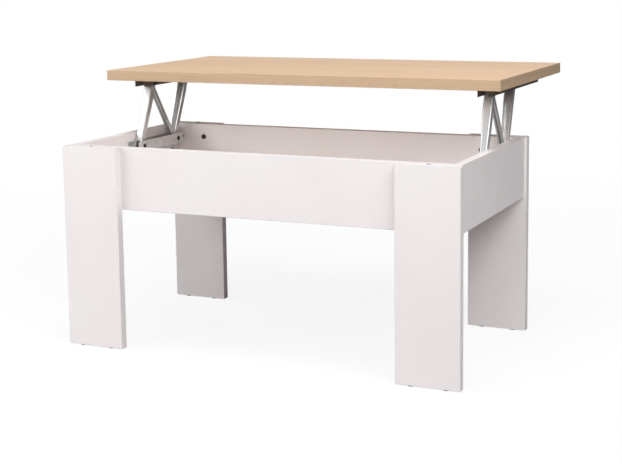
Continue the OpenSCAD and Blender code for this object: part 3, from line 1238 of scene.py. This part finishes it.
@dataclass
class LiftSide:
    """One lift mechanism: base bracket, two arms, the telescopic strut and the top rail."""

    frame: dict
    side: Side
    sheet: float = 2.0 * MM
    bend: float = 2.6 * MM
    strut_round: float = 0.6 * MM

    def joint_place(self, name: str) -> Vector:
        """Where a joint of the frame is, by its name."""
        found = next(j for j in self.frame["joints"] if j["name"] == name)
        return Vector(found["pos_m"])

    def reach(self) -> Vector:
        """From the foot of an arm to its upper pivot."""
        return self.joint_place("board_level") - self.joint_place("lift")

    def foot(self, place: str) -> Vector:
        """Lower pivot of the arm at the front or the rear.

        Args:
            place: front or rear.

        Returns:
            The pivot.
        """
        label = f"arm_{place}_{self.side.label}"
        found = next(j for j in self.frame["joints"] if j["child"] == label)
        return Vector(found["pos_m"])

    def arms(self) -> list[bpy.types.Object]:
        """Builds the front arm, with its web to the front, and the rear arm, with its web to the back.

        Returns:
            The two pieces.
        """
        made = []
        for place, web_side in (("front", -1), ("rear", 1)):
            made.append(Arm(self.side, place, self.foot(place), self.reach(), web_side).build())
        return made

    def bracket(self) -> bpy.types.Object:
        """Builds the base bracket: a plate on the side panel, and a channel on it that opens upwards.

        Returns:
            The piece.
        """
        node = f"base_bracket_{self.side.label}"
        low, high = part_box(node)
        sign = self.side.value
        half = self.sheet / 2
        wall = max(abs(low.x), abs(high.x)) - half
        inner = min(abs(low.x), abs(high.x)) + half
        corners = self.inner_wall(node)
        front, back = min(c.y for c in corners), max(c.y for c in corners)
        floor = min(c.z for c in corners) + half
        made = BentSheet(f"{node}_sheet", self.sheet, self.bend, FINISHES.bracket)
        made.add([(sign * wall, low.z), (sign * wall, high.z)], low.y, high.y)
        turned = [(sign * inner, high.z), (sign * inner, floor), (sign * (wall - half), floor)]
        made.add(turned, front, back)
        return attach(made.build(), "box", [node])

    def inner_wall(self, node: str) -> list[Vector]:
        """Corners of the bracket's inner wall, read from the CAD node's own mesh.

        Args:
            node: The bracket's CAD node.

        Returns:
            The corners.
        """
        inner = min(abs(corner.x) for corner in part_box(node))
        places = [vert.co.copy() for vert in self.frame["nodes"][node].data.vertices]
        return [place for place in places if abs(abs(place.x) - inner) < 10 * WELD]

    def rail(self) -> bpy.types.Object:
        """Builds the top rail, a channel under the board that opens downwards.

        Returns:
            The piece.
        """
        node = f"top_rail_{self.side.label}"
        low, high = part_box(node)
        half = self.sheet / 2
        corners = [
            (low.x + half, low.z),
            (low.x + half, high.z - half),
            (high.x - half, high.z - half),
            (high.x - half, low.z),
        ]
        made = BentSheet(f"{node}_channel", self.sheet, self.bend, FINISHES.coat)
        return attach(made.add(corners, low.y, high.y).build(), "top", [node])

    def strut(self) -> list[bpy.types.Object]:
        """Builds the slotted tube and the bar that slides in it.

        Returns:
            The two pieces.
        """
        made = []
        for part, finish in (("strut_tube", FINISHES.zinc), ("strut_rod", FINISHES.screw)):
            node = f"{part}_{self.side.label}"
            copy = softened(self.frame, node, self.strut_round, finish)
            made.append(attach(copy, node, [node]))
        return made

    def build(self) -> list[bpy.types.Object]:
        """Builds the whole mechanism of one side."""
        return [self.bracket(), self.rail(), *self.arms(), *self.strut()]


# ---- fasteners -------------------------------------------------------------


class FastenerTree:
    """Geometry Nodes tree that sets one fastener on each point of a mesh.

    A head is a flattened ball with its lower half pressed flat, cut by its
    drive and joined to its shank. A point's own attribute says where it looks,
    and a random turn about that way gives each head its own drive angle.
    """

    LOOKS = "looks_along"
    HEAD_SEGMENTS = 28
    HEAD_RINGS = 16
    SHANK_SIDES = 24
    HEX_SIDES = 6
    SLIM = 0.25
    INPUTS = (
        ("Head Radius", "NodeSocketFloat", 0.004),
        ("Head Height", "NodeSocketFloat", 0.002),
        ("Fullness", "NodeSocketFloat", 2.0),
        ("Shank Radius", "NodeSocketFloat", 0.002),
        ("Shank Length", "NodeSocketFloat", 0.01),
        ("Drive", "NodeSocketInt", 0),
        ("Drive Radius", "NodeSocketFloat", 0.002),
        ("Drive Depth", "NodeSocketFloat", 0.001),
        ("Seed", "NodeSocketInt", 0),
        ("Material", "NodeSocketMaterial", None),
    )

    def __init__(self) -> None:
        """Makes the tree's sockets and lays its nodes."""
        self.tree = bpy.data.node_groups.new("fastener_on_each_point", "GeometryNodeTree")
        self.graph = Graph(self.tree)
        face = self.tree.interface
        face.new_socket("Geometry", in_out="INPUT", socket_type="NodeSocketGeometry")
        for name, kind, value in self.INPUTS:
            socket = face.new_socket(name, in_out="INPUT", socket_type=kind)
            if value is not None:
                socket.default_value = value
        face.new_socket("Geometry", in_out="OUTPUT", socket_type="NodeSocketGeometry")
        self.given = self.graph.node("NodeGroupInput").outputs
        self.lay()

    def identifier(self, name: str) -> str:
        """Identifier of one of the tree's inputs, by its name."""
        items = self.tree.interface.items_tree
        return next(i.identifier for i in items if i.name == name and i.in_out == "INPUT")

    def head(self) -> bpy.types.NodeSocket:
        """Lays the nodes of the head: a ball whose height follows a rounded profile.

        Returns:
            The head's mesh.
        """
        graph = self.graph
        ball = graph.node("GeometryNodeMeshUVSphere")
        ball.inputs["Segments"].default_value = self.HEAD_SEGMENTS
        ball.inputs["Rings"].default_value = self.HEAD_RINGS
        graph.feed(ball.inputs["Radius"], self.given["Head Radius"])
        part = graph.node("ShaderNodeSeparateXYZ")
        graph.feed(part.inputs[0], graph.node("GeometryNodeInputPosition").outputs[0])
        square = graph.math(
            "ADD", graph.math("POWER", part.outputs[0], 2.0), graph.math("POWER", part.outputs[1], 2.0)
        )
        share = graph.math("DIVIDE", graph.math("SQRT", square), self.given["Head Radius"], clamp=True)
        fall = graph.math("SUBTRACT", 1.0, graph.math("POWER", share, self.given["Fullness"]), clamp=True)
        rise = graph.math("POWER", fall, graph.math("DIVIDE", 1.0, self.given["Fullness"]))
        above = graph.math("GREATER_THAN", part.outputs[2], 1e-6)
        height = graph.math("MULTIPLY", graph.math("MULTIPLY", rise, above), self.given["Head Height"])
        joined = graph.node("ShaderNodeCombineXYZ")
        graph.feed(joined.inputs[0], part.outputs[0])
        graph.feed(joined.inputs[1], part.outputs[1])
        graph.feed(joined.inputs[2], height)
        moved = graph.node("GeometryNodeSetPosition")
        graph.feed(moved.inputs["Geometry"], ball.outputs["Mesh"])
        graph.feed(moved.inputs["Position"], joined.outputs[0])
        return moved.outputs[0]

    def drive_cutter(self) -> bpy.types.NodeSocket:
        """Lays the nodes of the drive's cutter: two crossed bars, or a hexagonal prism.

        Returns:
            The cutter's mesh.
        """
        graph = self.graph
        wide = graph.math("MULTIPLY", self.given["Drive Radius"], 2.0)
        slim = graph.math("MULTIPLY", wide, self.SLIM)
        deep = graph.math("MULTIPLY", self.given["Drive Depth"], 2.0)
        bars = graph.node("GeometryNodeJoinGeometry")
        for a, b in ((wide, slim), (slim, wide)):
            size = graph.node("ShaderNodeCombineXYZ")
            for socket, source in zip(size.inputs, (a, b, deep)):
                graph.feed(socket, source)
            bar = graph.node("GeometryNodeMeshCube")
            graph.feed(bar.inputs["Size"], size.outputs[0])
            graph.feed(bars.inputs[0], bar.outputs["Mesh"])
        prism = graph.node("GeometryNodeMeshCylinder")
        prism.inputs["Vertices"].default_value = self.HEX_SIDES
        graph.feed(prism.inputs["Radius"], self.given["Drive Radius"])
        graph.feed(prism.inputs["Depth"], deep)
        is_hex = graph.math("GREATER_THAN", self.given["Drive"], Recess.CROSS.value + 0.5)
        choose = graph.node("GeometryNodeSwitch", input_type="GEOMETRY")
        graph.feed(choose.inputs["Switch"], is_hex)
        graph.feed(choose.inputs["False"], bars.outputs[0])
        graph.feed(choose.inputs["True"], prism.outputs["Mesh"])
        lift = graph.node("ShaderNodeCombineXYZ")
        graph.feed(lift.inputs[2], self.given["Head Height"])
        placed = graph.node("GeometryNodeTransform")
        graph.feed(placed.inputs["Geometry"], choose.outputs[0])
        graph.feed(placed.inputs["Translation"], lift.outputs[0])
        return placed.outputs[0]

    def shank(self) -> bpy.types.NodeSocket:
        """Lays the nodes of the shank, below the seat of the head.

        Returns:
            The shank's mesh.
        """
        graph = self.graph
        rod = graph.node("GeometryNodeMeshCylinder")
        rod.inputs["Vertices"].default_value = self.SHANK_SIDES
        graph.feed(rod.inputs["Radius"], self.given["Shank Radius"])
        graph.feed(rod.inputs["Depth"], self.given["Shank Length"])
        drop = graph.node("ShaderNodeCombineXYZ")
        graph.feed(drop.inputs[2], graph.math("MULTIPLY", self.given["Shank Length"], -0.5))
        placed = graph.node("GeometryNodeTransform")
        graph.feed(placed.inputs["Geometry"], rod.outputs["Mesh"])
        graph.feed(placed.inputs["Translation"], drop.outputs[0])
        return placed.outputs[0]

    def shaded(self, source: bpy.types.NodeSocket) -> bpy.types.NodeSocket:
        """Lays the nodes that shade faces smooth and keep edges over 30 degrees sharp.

        Args:
            source: The mesh to shade.

        Returns:
            The shaded mesh.
        """
        graph = self.graph
        smooth = graph.node("GeometryNodeSetShadeSmooth", domain="FACE")
        graph.feed(smooth.inputs["Geometry"], source)
        angle = graph.node("GeometryNodeInputMeshEdgeAngle")
        sharp = graph.node("GeometryNodeSetShadeSmooth", domain="EDGE")
        graph.feed(sharp.inputs["Geometry"], smooth.outputs[0])
        is_sharp = graph.math("GREATER_THAN", angle.outputs["Unsigned Angle"], SHARP_TURN)
        graph.feed(sharp.inputs["Selection"], is_sharp)
        sharp.inputs["Shade Smooth"].default_value = False
        return sharp.outputs[0]

    def lay(self) -> None:
        """Lays the whole tree."""
        graph = self.graph
        plain = self.head()
        cut = graph.node("GeometryNodeMeshBoolean", operation="DIFFERENCE", solver="EXACT")
        cut.inputs["Self Intersection"].default_value = True
        graph.feed(cut.inputs["Mesh 1"], plain)
        graph.feed(cut.inputs["Mesh 2"], self.drive_cutter())
        driven = graph.node("GeometryNodeSwitch", input_type="GEOMETRY")
        graph.feed(driven.inputs["Switch"], graph.math("GREATER_THAN", self.given["Drive"], 0.5))
        graph.feed(driven.inputs["False"], plain)
        graph.feed(driven.inputs["True"], cut.outputs["Mesh"])
        whole = graph.node("GeometryNodeJoinGeometry")
        graph.feed(whole.inputs[0], driven.outputs[0])
        graph.feed(whole.inputs[0], self.shank())
        looks = graph.node("GeometryNodeInputNamedAttribute", data_type="FLOAT_VECTOR")
        looks.inputs["Name"].default_value = self.LOOKS
        aligned = graph.node("FunctionNodeAlignRotationToVector", axis="Z")
        graph.feed(aligned.inputs["Vector"], looks.outputs["Attribute"])
        placed = graph.node("GeometryNodeInstanceOnPoints")
        graph.feed(placed.inputs["Points"], self.given["Geometry"])
        graph.feed(placed.inputs["Instance"], self.shaded(whole.outputs[0]))
        graph.feed(placed.inputs["Rotation"], aligned.outputs[0])
        chance = graph.node("FunctionNodeRandomValue", data_type="FLOAT")
        chance.inputs["Max"].default_value = 2 * math.pi
        graph.feed(chance.inputs["Seed"], self.given["Seed"])
        random_turn = graph.node("ShaderNodeCombineXYZ")
        turn = next(s for s in chance.outputs if s.enabled and s.type == "VALUE")
        graph.feed(random_turn.inputs[2], turn)
        turned = graph.node("GeometryNodeRotateInstances")
        graph.feed(turned.inputs["Instances"], placed.outputs[0])
        graph.feed(turned.inputs["Rotation"], random_turn.outputs[0])
        turned.inputs["Local Space"].default_value = True
        real = graph.node("GeometryNodeRealizeInstances")
        graph.feed(real.inputs[0], turned.outputs[0])
        dressed = graph.node("GeometryNodeSetMaterial")
        graph.feed(dressed.inputs["Geometry"], real.outputs[0])
        graph.feed(dressed.inputs["Material"], self.given["Material"])
        graph.feed(graph.node("NodeGroupOutput").inputs[0], dressed.outputs[0])


@dataclass
class FastenerField:
    """A group of like fasteners in one CAD node, each found from its own solid."""

    name: str
    node: str
    body: str
    slot: str
    finish: Finish
    way: HeadWay
    axis: Axis
    head_radius: float
    head_height: float
    shank_radius: float
    fullness: float
    seed: int
    recess: Recess = Recess.NONE
    recess_radius: float = 1.6 * MM
    recess_depth: float = 0.9 * MM
    head_slack: float = 0.15 * MM

    def direction(self, centre: Vector) -> Vector:
        """The way the head of the fastener at a place points.

        Args:
            centre: Middle of the fastener.

        Returns:
            The unit vector.
        """
        if self.way in (HeadWay.UP, HeadWay.DOWN):
            return Vector((0.0, 0.0, 1.0 if self.way is HeadWay.UP else -1.0))
        sign = math.copysign(1.0, centre[self.axis.value])
        if self.way is HeadWay.TO_MIDDLE:
            sign = -sign
        made = Vector((0.0, 0.0, 0.0))
        made[self.axis.value] = sign
        return made

    def places(self, frame: dict) -> tuple[list[tuple[Vector, Vector]], float]:
        """Finds the seat of each head in the node's solids.

        Args:
            frame: The loaded frame.

        Returns:
            The seats with the way their heads point, and the length of a shank.
        """
        axis = self.axis.value
        found, length = [], 0.0
        for low, high in solids(frame["nodes"][self.node]):
            size = high - low
            across = max(size[i] for i in range(3) if i != axis) / 2
            if abs(across - self.head_radius) > self.head_slack:
                continue
            centre = (low + high) / 2
            way = self.direction(centre)
            top = centre + way * size[axis] / 2
            found.append((top - way * self.head_height, way))
            length = size[axis] - self.head_height
        return found, length

    def build(self, frame: dict, tree: FastenerTree) -> bpy.types.Object:
        """Builds the group as one mesh and dresses it.

        Args:
            frame: The loaded frame.
            tree: The shared Geometry Nodes tree.

        Returns:
            The piece, not yet seated.
        """
        found, length = self.places(frame)
        mesh = bpy.data.meshes.new(self.name)
        mesh.from_pydata([tuple(seat) for seat, _ in found], [], [])
        looks = mesh.attributes.new(FastenerTree.LOOKS, "FLOAT_VECTOR", "POINT")
        looks.data.foreach_set("vector", [value for _, way in found for value in way])
        made = bpy.data.objects.new(self.name, mesh)
        bpy.context.scene.collection.objects.link(made)
        field_nodes = made.modifiers.new("fasteners", "NODES")
        field_nodes.node_group = tree.tree
        for name, value in (
            ("Head Radius", self.head_radius),
            ("Head Height", self.head_height),
            ("Fullness", self.fullness),
            ("Shank Radius", self.shank_radius),
            ("Shank Length", length),
            ("Drive", self.recess.value),
            ("Drive Radius", self.recess_radius),
            ("Drive Depth", self.recess_depth),
            ("Seed", self.seed),
            ("Material", self.finish.material()),
        ):
            field_nodes[tree.identifier(name)] = value
        baked(made)
        left = made.data.attributes.get(FastenerTree.LOOKS)
        if left is not None:
            made.data.attributes.remove(left)
        return made


@dataclass
class Hardware:
    """Every screw, bolt, pin, cap, glide and pad of the table."""

    frame: dict

    def fields(self) -> list[FastenerField]:
        """Lists the groups of fasteners with their sizes.

        Returns:
            The groups.
        """
        dark, light = FINISHES.fastener, FINISHES.screw
        return [
            FastenerField(
                "leg_bolt_heads", "leg_bolts", "box", "dark_fastener", dark, HeadWay.TO_MIDDLE, Axis.Y,
                head_radius=6.0 * MM, head_height=2.8 * MM, shank_radius=3.0 * MM, fullness=4.0,
                recess=Recess.HEX, recess_radius=2.3 * MM, recess_depth=1.8 * MM, seed=5,
            ),
            FastenerField(
                "bracket_screw_heads", "bracket_screws", "box", "dark_fastener", dark,
                HeadWay.TO_MIDDLE, Axis.X,
                head_radius=4.0 * MM, head_height=2.2 * MM, shank_radius=2.0 * MM, fullness=2.6,
                recess=Recess.CROSS, seed=7,
            ),
            FastenerField(
                "bracket_flush_heads", "bracket_screws", "box", "dark_fastener", dark,
                HeadWay.TO_MIDDLE, Axis.X,
                head_radius=3.2 * MM, head_height=0.5 * MM, shank_radius=2.0 * MM, fullness=3.0,
                recess=Recess.CROSS, recess_radius=1.5 * MM, recess_depth=0.5 * MM, seed=9,
            ),
            FastenerField(
                "rail_screw_heads", "rail_screws", "top", "dark_fastener", dark, HeadWay.DOWN, Axis.Z,
                head_radius=4.0 * MM, head_height=2.2 * MM, shank_radius=2.0 * MM, fullness=2.6,
                recess=Recess.CROSS, seed=11,
            ),
            FastenerField(
                "base_pin_rivets", "base_pins", "box", "dark_fastener", dark, HeadWay.TO_MIDDLE, Axis.X,
                head_radius=5.5 * MM, head_height=2.0 * MM, shank_radius=3.0 * MM, fullness=2.2, seed=13,
            ),
            FastenerField(
                "top_pin_rivets", "top_pins", "top", "dark_fastener", dark, HeadWay.TO_MIDDLE, Axis.X,
                head_radius=5.5 * MM, head_height=2.0 * MM, shank_radius=3.0 * MM, fullness=2.2, seed=15,
            ),
            FastenerField(
                "corner_screw_bodies", "corner_screws", "box", "zinc_steel", light, HeadWay.AWAY, Axis.X,
                head_radius=5.0 * MM, head_height=4.0 * MM, shank_radius=3.5 * MM, fullness=6.0,
                recess=Recess.HEX, recess_radius=2.3 * MM, recess_depth=2.0 * MM, seed=17,
            ),
            FastenerField(
                "cover_caps", "screw_caps", "box", "white_plastic", FINISHES.cap, HeadWay.AWAY, Axis.X,
                head_radius=6.5 * MM, head_height=0.7 * MM, shank_radius=2.4 * MM, fullness=3.0, seed=19,
            ),
            FastenerField(
                "bump_pad_domes", "bump_pads", "box", "grey_rubber", FINISHES.pad, HeadWay.UP, Axis.Z,
                head_radius=4.0 * MM, head_height=1.5 * MM, shank_radius=3.8 * MM, fullness=3.0, seed=21,
            ),
            FastenerField(
                "leg_glide_feet", "leg_glides", "box", "dark_plastic", FINISHES.glide, HeadWay.DOWN, Axis.Z,
                head_radius=8.0 * MM, head_height=2.0 * MM, shank_radius=1.0 * MM, fullness=5.0, seed=23,
            ),
        ]

    def copies(self) -> list[tuple[str, str, str, float, Finish]]:
        """Lists the small turned parts that keep the CAD shape, with softened edges.

        Returns:
            For each its node, body, slot, edge radius and finish.
        """
        return [
            ("base_washers", "box", "dark_plastic", 0.12 * MM, FINISHES.washer),
            ("top_washers", "top", "dark_plastic", 0.06 * MM, FINISHES.washer),
            ("stop_studs", "box", "zinc_steel", 0.3 * MM, FINISHES.screw),
            ("dowels", "box", "beech", 0.5 * MM, FINISHES.dowel),
        ]

    def build(self) -> list[bpy.types.Object]:
        """Builds and seats every fastener and small part.

        Returns:
            The pieces.
        """
        tree = FastenerTree()
        made = []
        for group in self.fields():
            made.append(attach(group.build(self.frame, tree), group.body, [group.node]))
        for node, body, slot, radius, finish in self.copies():
            made.append(attach(softened(self.frame, node, radius, finish), body, [node]))
        return made


# ---- studio ----------------------------------------------------------------


@dataclass
class SoftLight:
    """A square soft box that looks at the table. Its azimuth is 0 in front and grows to the right."""

    name: str
    azimuth: float
    elevation: float
    power: float
    distance: float = 3.2
    size: float = 1.5
    mirrored: bool = True
    aim: Vector = field(default_factory=lambda: Vector((0.0, 0.0, 0.35)))

    def build(self) -> bpy.types.Object:
        """Builds the light and turns it to its aim.

        Returns:
            The light's object.
        """
        data = bpy.data.lights.new(self.name, "AREA")
        data.shape = "SQUARE"
        data.size = self.size
        data.energy = self.power
        turn, rise = math.radians(self.azimuth), math.radians(self.elevation)
        away = Vector((math.sin(turn) * math.cos(rise), -math.cos(turn) * math.cos(rise), math.sin(rise)))
        made = bpy.data.objects.new(self.name, data)
        made.visible_glossy = self.mirrored
        made.location = self.aim + away * self.distance
        made.rotation_euler = away.to_track_quat("Z", "Y").to_euler()
        bpy.context.scene.collection.objects.link(made)
        return made


@dataclass
class Studio:
    """A plain pale floor that fades to white, soft lights and the camera."""

    azimuth: float = math.radians(24.37)
    elevation: float = math.radians(8.1)
    roll: float = math.radians(-0.71)
    place: Vector = field(default_factory=lambda: Vector((1.173, -2.482, 0.792)))
    lens: float = 75.9
    film: float = 36.0
    sight: float = 200.0
    shift: tuple[float, float] = (-0.0141, -0.1286)
    floor_reach: float = 60.0
    fade_from: float = 0.9
    fade_to: float = 2.4
    floor_colour: Colour = (0.90, 0.90, 0.90)
    floor_glow: float = 0.88
    floor_bounce: Colour = (0.45, 0.44, 0.44)
    air: Colour = (0.97, 0.98, 1.0)
    air_strength: float = 0.03

    def camera(self) -> bpy.types.Object:
        """Builds the camera.

        Returns:
            The camera's object, which is the scene's camera.
        """
        data = bpy.data.cameras.new("camera")
        data.lens = self.lens
        data.sensor_width = self.film
        data.shift_x, data.shift_y = self.shift
        data.clip_end = self.sight
        made = bpy.data.objects.new("camera", data)
        away = Vector((
            math.sin(self.azimuth) * math.cos(self.elevation),
            -math.cos(self.azimuth) * math.cos(self.elevation),
            math.sin(self.elevation),
        ))
        right = Vector((math.cos(self.azimuth), math.sin(self.azimuth), 0.0))
        up = away.cross(right)
        cos_roll, sin_roll = math.cos(self.roll), math.sin(self.roll)
        across = right * cos_roll + up * sin_roll
        upward = up * cos_roll - right * sin_roll
        made.matrix_world = Matrix((
            (across.x, upward.x, away.x, self.place.x),
            (across.y, upward.y, away.y, self.place.y),
            (across.z, upward.z, away.z, self.place.z),
            (0.0, 0.0, 0.0, 1.0),
        ))
        bpy.context.scene.collection.objects.link(made)
        bpy.context.scene.camera = made
        return made

    def floor(self) -> bpy.types.Object:
        """Builds the floor, with its faint shadows near the table and plain white farther off.

        Returns:
            The floor's object.
        """
        shape = bmesh.new()
        bmesh.ops.create_grid(shape, x_segments=1, y_segments=1, size=self.floor_reach)
        mesh = bpy.data.meshes.new("floor")
        shape.to_mesh(mesh)
        shape.free()
        made = bpy.data.objects.new("floor", mesh)
        bpy.context.scene.collection.objects.link(made)
        mesh.materials.append(self.floor_paper())
        return made

    def floor_paper(self) -> bpy.types.Material:
        """Makes the floor's material: white with faint shadows to look at, and a grey that lights little.

        Returns:
            The material.
        """
        material = bpy.data.materials.new("floor_paper")
        material.use_nodes = True
        paint = Paint(material)
        paint.set("Base Color", self.floor_bounce)
        paint.set("Roughness", 0.9)
        paint.set("Specular IOR Level", 0.1)
        distance = paint.node("ShaderNodeVectorMath", operation="LENGTH")
        paint.feed(distance.inputs[0], paint.place)
        far = paint.spread(distance.outputs["Value"], self.fade_from, self.fade_to, self.floor_glow, 1.0)
        matt = paint.node("ShaderNodeBsdfDiffuse")
        matt.inputs["Color"].default_value = (*self.floor_colour, 1.0)
        glow = paint.node("ShaderNodeEmission")
        glow.inputs["Color"].default_value = (1.0, 1.0, 1.0, 1.0)
        seen = paint.node("ShaderNodeMixShader")
        paint.feed(seen.inputs[0], far)
        paint.feed(seen.inputs[1], matt.outputs[0])
        paint.feed(seen.inputs[2], glow.outputs[0])
        whole = paint.node("ShaderNodeMixShader")
        paint.feed(whole.inputs[0], paint.node("ShaderNodeLightPath").outputs["Is Camera Ray"])
        paint.feed(whole.inputs[1], paint.shader.outputs[0])
        paint.feed(whole.inputs[2], seen.outputs[0])
        end = next(n for n in paint.tree.nodes if n.type == "OUTPUT_MATERIAL")
        paint.feed(end.inputs["Surface"], whole.outputs[0])
        return material

    def world(self) -> None:
        """Sets white air behind the table, and softer grey air for light and reflections."""
        world = bpy.data.worlds.new("studio_air")
        bpy.context.scene.world = world
        world.use_nodes = True
        graph = Graph(world.node_tree)
        lit = next(n for n in world.node_tree.nodes if n.type == "BACKGROUND")
        lit.inputs["Color"].default_value = (*self.air, 1.0)
        lit.inputs["Strength"].default_value = self.air_strength
        seen = graph.node("ShaderNodeBackground")
        seen.inputs["Color"].default_value = (1.0, 1.0, 1.0, 1.0)
        blend = graph.node("ShaderNodeMixShader")
        graph.feed(blend.inputs[0], graph.node("ShaderNodeLightPath").outputs["Is Camera Ray"])
        graph.feed(blend.inputs[1], lit.outputs[0])
        graph.feed(blend.inputs[2], seen.outputs[0])
        end = next(n for n in world.node_tree.nodes if n.type == "OUTPUT_WORLD")
        graph.feed(end.inputs["Surface"], blend.outputs[0])

    def lights(self) -> list[bpy.types.Object]:
        """Builds two soft boxes at the left, two at the right, one above and a weak one behind.

        Returns:
            The lights' objects.
        """
        return [
            SoftLight("left_near", -35.0, 18.0, 27.5).build(),
            SoftLight("left_wide", -60.0, 25.0, 32.5).build(),
            SoftLight("right_near", 30.0, 25.0, 23.0).build(),
            SoftLight("right_high", 60.0, 40.0, 52.0).build(),
            SoftLight("above", 10.0, 80.0, 62.0).build(),
            SoftLight("behind", -150.0, 9.0, 30.0, mirrored=False).build(),
        ]

    def build(self) -> None:
        """Builds the whole studio."""
        bpy.context.scene.view_settings.view_transform = "Standard"
        self.camera()
        self.floor()
        self.world()
        self.lights()
        LOG.info("studio: camera, floor, air and lights")


def main() -> None:
    """Builds the table's looks around the frame, in order."""
    logging.basicConfig(level=logging.INFO, format="%(name)s: %(message)s")
    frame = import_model()
    Studio().build()
    PanelBox().build()
    OakBoard().build()
    for side in Side:
        LiftSide(frame, side).build()
    Hardware(frame).build()


if __name__ == "__main__":
    main()
